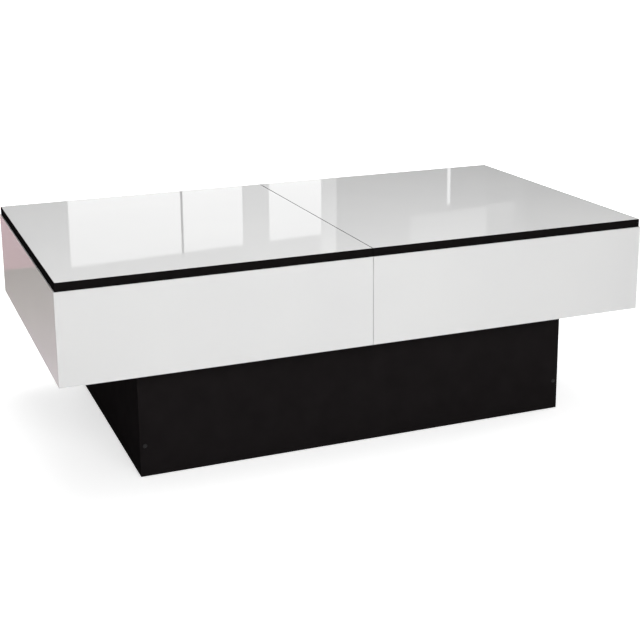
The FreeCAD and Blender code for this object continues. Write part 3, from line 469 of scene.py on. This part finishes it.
def add_piece(name, node, mesh):
    """Add a finished piece that stands for a CAD node."""
    for face in mesh.polygons:
        face.use_smooth = True
    mesh.set_sharp_from_angle(angle=SMOOTH_ANGLE)
    mesh.materials.clear()
    mesh.materials.append(materials[slot_of[node]])
    piece = bpy.data.objects.new(name, mesh)
    bpy.context.scene.collection.objects.link(piece)
    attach(piece, body_of[node])
    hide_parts(node)
    return piece


def refine(node, shape, axis):
    """Replace every solid of a node by the same detailed shape, sized and placed as that solid."""
    joined = bmesh.new()
    drawn = {}
    for points in solids(node):
        matrix, *measures = stand(points, axis)
        # Solids that agree to a hundredth of a millimetre share one drawn mesh
        key = tuple(round(measure / MM, 2) for measure in measures)
        if key not in drawn:
            drawn[key] = shape(*measures)
        mesh = drawn[key].copy()
        mesh.transform(matrix)
        joined.from_mesh(mesh)
    add_piece(node + "_detail", node, to_mesh(joined, node + "_detail"))


refine("plinth_screw_caps", screw_cap, ALONG_Y)
refine("floor_glides", glide, ALONG_Z)
refine("left_bumpers", bumper, ALONG_X)
for node in sorted(nodes):
    if node.endswith("screws"):
        refine(node, screw, LONGEST)
    if node.endswith("cam_nuts"):
        refine(node, cam_nut, SHORTEST)
    if node.endswith("balls"):
        refine(node, steel_ball, ALONG_Z)


# Edge bands: four separate strips with soft edges round each half top

BAND_THICKNESS = 1.0 * MM
SEAM_BAND_THICKNESS = 0.25 * MM
BAND_EDGE = 0.25 * MM
# A strip is rounded by no more than this share of its thickness
THIN_EDGE_SHARE = 0.3
EDGE_SEGMENTS = 2


def even_shading(piece):
    """Keep flat faces evenly shaded next to rounded edges."""
    even = piece.modifiers.new("even_shading", "WEIGHTED_NORMAL")
    even.keep_sharp = False


def soft_box(low, high):
    """A box with rounded edges, finer where the box is thin."""
    shape = bmesh.new()
    bmesh.ops.create_cube(shape, size=1)
    for vert in shape.verts:
        vert.co = [high[i] if vert.co[i] > 0 else low[i] for i in range(3)]
    thinnest = min(high[i] - low[i] for i in range(3))
    edge = min(BAND_EDGE, thinnest * THIN_EDGE_SHARE)
    bmesh.ops.bevel(
        shape, geom=shape.edges[:], offset=edge, segments=EDGE_SEGMENTS, profile=0.5, affect="EDGES",
    )
    return to_mesh(shape, "strip")


def edge_band(node):
    """The strips of one half top: the long ones cover the ends of the others; the seam's is thin."""
    low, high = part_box(node)
    seam, outer = sorted((low.x, high.x), key=abs)
    front, back = low.y + BAND_THICKNESS, high.y - BAND_THICKNESS
    outer_inside = outer - math.copysign(BAND_THICKNESS, outer)
    seam_inside = seam + math.copysign(SEAM_BAND_THICKNESS, seam)
    joined = bmesh.new()
    for ends, sides in (
        ((low.x, high.x), (low.y, front)),
        ((low.x, high.x), (back, high.y)),
        (sorted((outer, outer_inside)), (front, back)),
        (sorted((seam, seam_inside)), (front, back)),
    ):
        joined.from_mesh(soft_box((ends[0], sides[0], low.z), (ends[1], sides[1], high.z)))
    even_shading(add_piece(node + "_detail", node, to_mesh(joined, node + "_detail")))


edge_band("left_edge_band")
edge_band("right_edge_band")


# Boards: the CAD shapes with softened edges; sheet steel, bolts and dowels only get their material

SOFT_EDGE = {
    "white_lacquer": 0.5 * MM,
    "black_board": 0.5 * MM,
    "tray_board": 0.5 * MM,
    "pine": 1.0 * MM,
}
# Edges sharper than this are rounded
SHARP_ANGLE = math.radians(40)


def soften(piece, width):
    """Round the edges of a board a little."""
    weld = piece.modifiers.new("weld", "WELD")
    weld.merge_threshold = SAME_POINT
    round_off = piece.modifiers.new("soft_edges", "BEVEL")
    round_off.width = width
    round_off.segments = EDGE_SEGMENTS
    round_off.limit_method = "ANGLE"
    round_off.angle_limit = SHARP_ANGLE
    even_shading(piece)


for node, piece in nodes.items():
    piece.data.materials.clear()
    piece.data.materials.append(materials[slot_of[node]])
    if slot_of[node] in SOFT_EDGE:
        soften(piece, SOFT_EDGE[slot_of[node]])


# Floor

FLOOR_HALF = 40.0
FLOOR_GAP = 0.2 * MM
# Brightness added to the floor by the table, which grows to white between two distances from it
FLOOR_LIFT = 0.6
FADE_FROM, FADE_TO = 1.6, 3.5


def seen_directly(tree):
    """1 for what the lens sees, also in reflections or through glass, and 0 for other light."""
    path = tree.nodes.new("ShaderNodeLightPath")
    seen = path.outputs["Is Camera Ray"]
    for ray in ("Is Glossy Ray", "Is Transmission Ray"):
        either = tree.nodes.new("ShaderNodeMath")
        either.operation = "MAXIMUM"
        tree.links.new(seen, either.inputs[0])
        tree.links.new(path.outputs[ray], either.inputs[1])
        seen = either.outputs[0]
    return seen


def floor_material():
    """Pale studio floor that fades into the white background away from the table."""
    made, tree, shader = new_material("pale_floor")
    paint(tree, shader, noise(tree, scale=2), dark=(0.84, 0.84, 0.84), light=(0.86, 0.86, 0.86))
    roughen(tree, shader, noise(tree, scale=20), smooth=0.75, rough=0.85)
    shader.inputs["Specular IOR Level"].default_value = 0.1
    place = tree.nodes.new("ShaderNodeNewGeometry")
    away = tree.nodes.new("ShaderNodeVectorMath")
    away.operation = "LENGTH"
    fade = tree.nodes.new("ShaderNodeMapRange")
    fade.interpolation_type = "SMOOTHSTEP"
    fade.inputs["From Min"].default_value = FADE_FROM
    fade.inputs["From Max"].default_value = FADE_TO
    fade.inputs["To Min"].default_value = FLOOR_LIFT
    fade.inputs["To Max"].default_value = 1.0
    lift = tree.nodes.new("ShaderNodeMath")
    lift.operation = "MULTIPLY"
    tree.links.new(place.outputs["Position"], away.inputs[0])
    tree.links.new(away.outputs["Value"], fade.inputs["Value"])
    tree.links.new(fade.outputs["Result"], lift.inputs[0])
    tree.links.new(seen_directly(tree), lift.inputs[1])
    shader.inputs["Emission Color"].default_value = (1, 1, 1, 1)
    tree.links.new(lift.outputs[0], shader.inputs["Emission Strength"])
    return made


def level_corners(x, y, z):
    """The corners of a level rectangle from its spans along X and Y."""
    return [(x[0], y[0], z), (x[1], y[0], z), (x[1], y[1], z), (x[0], y[1], z)]


def upright_corners(x, y, z):
    """The corners of an upright rectangle from its spans along X and Z."""
    return [(x[0], y, z[0]), (x[1], y, z[0]), (x[1], y, z[1]), (x[0], y, z[1])]


def add_card(name, corners, material):
    """A flat stage piece from its corners."""
    mesh = bpy.data.meshes.new(name)
    mesh.from_pydata(corners, [], [range(len(corners))])
    mesh.materials.append(material)
    card = bpy.data.objects.new(name, mesh)
    bpy.context.scene.collection.objects.link(card)
    return card


floor_span = (-FLOOR_HALF, FLOOR_HALF)
add_card("floor", level_corners(floor_span, floor_span, -FLOOR_GAP), floor_material())


# Surroundings for the gloss: grey walls with bright windows, which only show in reflections

BACK_WALL = 4.0
OTHER_WALLS = 5.0
# Cards of a higher layer stand this much nearer to the table
LAYER_GAP = 10 * MM
# How much the window and door edges on the back wall rise per metre to the right
WALL_SLOPE = -0.03
# Heights of the back wall that the top mirrors at about its back edge and its front edge
MIRRORED_HEIGHTS = (1.15, 1.6)
FULL_HEIGHT = (0.0, 5.0)
WINDOW_HEIGHT = (0.3, 1.536)
# The other three walls: heights between which their greys change, and their windows by left edge
SIDE_GREY_HEIGHTS = (0.8, 3.0)
SIDE_WINDOW_HEIGHT = (0.4, 2.3)
SIDE_WINDOW_WIDTH = 0.8
SIDE_WINDOWS = (-3.7, -0.9, 0.3, 2.9)
FLOOR_CARD_LIFT = 0.5 * MM
# A soft card fades over this share of the way from its middle to its rim
FEATHER_SHARE = 0.6
# Painted reflection for the left end of the table: colours of a glowing card just over the floor at the
# left, by how far back it lies, with a sharp line across it
LEFT_END_REFLECTION_STOPS = (
    (0.3, (0.69, 0.60, 0.62)),
    (0.8, (0.51, 0.455, 0.435)),
    (1.195, (0.40, 0.355, 0.33)),
    (1.205, (0.60, 0.415, 0.43)),
    (1.7, (0.64, 0.43, 0.465)),
)


def glow(name, axis, stops):
    """A glowing surface whose colour runs through stops along one axis, each a place and a colour."""
    made, tree, shader = new_material(name)
    shader.inputs["Base Color"].default_value = (0, 0, 0, 1)
    shader.inputs["Roughness"].default_value = 1.0
    place = tree.nodes.new("ShaderNodeNewGeometry")
    split = tree.nodes.new("ShaderNodeSeparateXYZ")
    rise = tree.nodes.new("ShaderNodeMapRange")
    start, end = stops[0][0], stops[-1][0]
    rise.inputs["From Min"].default_value = start
    rise.inputs["From Max"].default_value = end
    blend = tree.nodes.new("ShaderNodeValToRGB")
    blend.color_ramp.elements[0].color = (*stops[0][1], 1)
    blend.color_ramp.elements[1].color = (*stops[-1][1], 1)
    for along, colour in stops[1:-1]:
        blend.color_ramp.elements.new((along - start) / (end - start)).color = (*colour, 1)
    tree.links.new(place.outputs["Position"], split.inputs["Vector"])
    tree.links.new(split.outputs[axis], rise.inputs["Value"])
    tree.links.new(rise.outputs["Result"], blend.inputs["Fac"])
    tree.links.new(blend.outputs["Color"], shader.inputs["Emission Color"])
    shader.inputs["Emission Strength"].default_value = 1.0
    return made


def grey_glow(name, heights, greys):
    """A glowing surface that goes from one grey to another between two heights."""
    return glow(name, ALONG_Z, [(height, [grey] * 3) for height, grey in zip(heights, greys)])


def feather(made):
    """Let a card fade out towards its rim."""
    tree = made.node_tree
    place = tree.nodes.new("ShaderNodeTexCoord")
    centre = tree.nodes.new("ShaderNodeMapping")
    centre.inputs["Location"].default_value = (-1, -1, 0)
    centre.inputs["Scale"].default_value = (2, 2, 0)
    round_off = tree.nodes.new("ShaderNodeTexGradient")
    round_off.gradient_type = "SPHERICAL"
    fade = tree.nodes.new("ShaderNodeMapRange")
    fade.interpolation_type = "SMOOTHSTEP"
    fade.inputs["From Max"].default_value = FEATHER_SHARE
    tree.links.new(place.outputs["Generated"], centre.inputs["Vector"])
    tree.links.new(centre.outputs["Vector"], round_off.inputs["Vector"])
    tree.links.new(round_off.outputs["Fac"], fade.inputs["Value"])
    tree.links.new(fade.outputs["Result"], tree.nodes["Principled BSDF"].inputs["Alpha"])
    return made


def reflection_card(name, corners, material):
    """A card that only shows in reflections."""
    card = add_card(name, corners, material)
    card.visible_camera = False
    card.visible_diffuse = False
    card.visible_transmission = False
    card.visible_shadow = False


def wall_card(name, x, z, greys, layer):
    """An upright card behind the table, which covers the cards of lower layers."""
    straight = upright_corners(x, BACK_WALL - layer * LAYER_GAP, z)
    corners = [(across, back, height + WALL_SLOPE * across) for across, back, height in straight]
    reflection_card(name, corners, grey_glow(name, MIRRORED_HEIGHTS, greys))


def side_wall(name, turn):
    """A wall with windows, turned about the table to stand at its front or at one of its ends."""
    around = Matrix.Rotation(turn, 4, "Z")

    def add(part, x, z, greys, layer):
        """Add one card of this wall."""
        straight = upright_corners(x, OTHER_WALLS - layer * LAYER_GAP, z)
        corners = [around @ Vector(corner) for corner in straight]
        reflection_card(name + part, corners, grey_glow(name + part, SIDE_GREY_HEIGHTS, greys))

    add("_wall", (-OTHER_WALLS, OTHER_WALLS), FULL_HEIGHT, greys=(0.42, 0.72), layer=0)
    for count, left in enumerate(SIDE_WINDOWS):
        x = (left, left + SIDE_WINDOW_WIDTH)
        add("_window_%d" % count, x, SIDE_WINDOW_HEIGHT, greys=(1.12, 1.04), layer=1)


wall_card("wall_left", (-6.0, 1.17), FULL_HEIGHT, greys=(0.38, 0.64), layer=0)
wall_card("wall_middle", (1.17, 1.7), FULL_HEIGHT, greys=(0.50, 0.66), layer=0)
wall_card("wall_right", (1.7, 2.39), FULL_HEIGHT, greys=(0.16, 0.52), layer=0)
wall_card("wall_by_door", (2.39, 2.64), FULL_HEIGHT, greys=(0.10, 0.46), layer=0)
wall_card("wall_far_right", (2.64, 2.9), FULL_HEIGHT, greys=(0.07, 0.40), layer=0)
wall_card("wall_end", (2.9, 9.0), FULL_HEIGHT, greys=(0.02, 0.34), layer=0)
wall_card("window_left", (0.235, 1.16), WINDOW_HEIGHT, greys=(1.16, 1.06), layer=1)
wall_card("window_bar", (0.817, 0.829), WINDOW_HEIGHT, greys=(0.0, 0.0), layer=2)
wall_card("window_right", (1.31, 1.61), WINDOW_HEIGHT, greys=(1.16, 1.06), layer=1)
wall_card("pillar", (1.61, 1.7), (0.3, 2.5), greys=(0.42, 0.86), layer=1)
wall_card("door_edge", (2.38, 2.4), (0.3, 1.462), greys=(0.95, 0.95), layer=1)
wall_card("door", (2.15, 2.64), (1.50, 5.0), greys=(0.30, 0.66), layer=1)
wall_card("door_frame", (2.64, 2.82), (1.49, 5.0), greys=(0.42, 0.42), layer=1)
side_wall("left", math.pi / 2)
side_wall("front", math.pi)
side_wall("right", -math.pi / 2)
# A glowing card over the floor at the left that only shows in reflections: a painted reflection that
# darkens and tints the left end of the table
painted_left_reflection = level_corners((-1.1, -0.4), (-0.9, 3.1), FLOOR_CARD_LIFT)
reflection_card("painted_left_reflection", painted_left_reflection, feather(glow("painted_left_reflection", ALONG_Y, LEFT_END_REFLECTION_STOPS)))


# Light

AMBIENT = 0.3


def set_world():
    """White to the lens and in reflections, softer as a light."""
    world = bpy.data.worlds.new("studio")
    bpy.context.scene.world = world
    world.use_nodes = True
    tree = world.node_tree
    back = tree.nodes["Background"]
    back.inputs["Color"].default_value = (1, 1, 1, 1)
    span = tree.nodes.new("ShaderNodeMapRange")
    span.inputs["To Min"].default_value = AMBIENT
    span.inputs["To Max"].default_value = 1.0
    tree.links.new(seen_directly(tree), span.inputs["Value"])
    tree.links.new(span.outputs["Result"], back.inputs["Strength"])


def add_lamp(name, place, aim, size, power, spread=180):
    """A soft rectangular lamp aimed at a point, whose light spreads over an angle in degrees."""
    data = bpy.data.lights.new(name, "AREA")
    data.shape = "RECTANGLE"
    data.size, data.size_y = size
    data.energy = power
    data.spread = math.radians(spread)
    lamp = bpy.data.objects.new(name, data)
    lamp.location = place
    lamp.rotation_euler = (Vector(aim) - Vector(place)).to_track_quat("-Z", "Y").to_euler()
    lamp.visible_camera = False
    lamp.visible_glossy = False
    bpy.context.scene.collection.objects.link(lamp)


set_world()
add_lamp("front_lamp", (-0.2, -2.3, 1.2), aim=(-0.15, 0, 0.25), size=(1.6, 1.0), power=10.4, spread=115)
add_lamp("top_lamp", (0.3, 0.6, 3.2), aim=(0, 0, 0.3), size=(2.4, 2.0), power=42)
add_lamp("right_lamp", (4.0, 0.3, 1.6), aim=(0.5, 0, 0.25), size=(2.0, 1.6), power=34)
add_lamp("back_lamp", (0.0, 4.0, 1.6), aim=(0, 0.3, 0.25), size=(2.6, 1.6), power=34)


# Camera, fitted to the corners of the table in the photograph

CAMERA_PLACE = (-0.8553, -2.2074, 0.9195)
CAMERA_YAW = math.radians(21.63)
CAMERA_PITCH = math.radians(13.75)
CAMERA_ROLL = math.radians(0.46)
LENS_MM = 70.44
SENSOR_MM = 36.0
SHIFT_UP = -0.1406

lens = bpy.data.cameras.new("camera")
lens.lens = LENS_MM
lens.sensor_width = SENSOR_MM
lens.shift_y = SHIFT_UP
camera = bpy.data.objects.new("camera", lens)
forward = Vector((
    math.sin(CAMERA_YAW) * math.cos(CAMERA_PITCH),
    math.cos(CAMERA_YAW) * math.cos(CAMERA_PITCH),
    -math.sin(CAMERA_PITCH),
))
camera.location = CAMERA_PLACE
camera.rotation_mode = "QUATERNION"
camera.rotation_quaternion = Quaternion(forward, CAMERA_ROLL) @ forward.to_track_quat("-Z", "Y")
bpy.context.scene.collection.objects.link(camera)
bpy.context.scene.camera = camera
bpy.context.scene.view_settings.view_transform = "Standard"
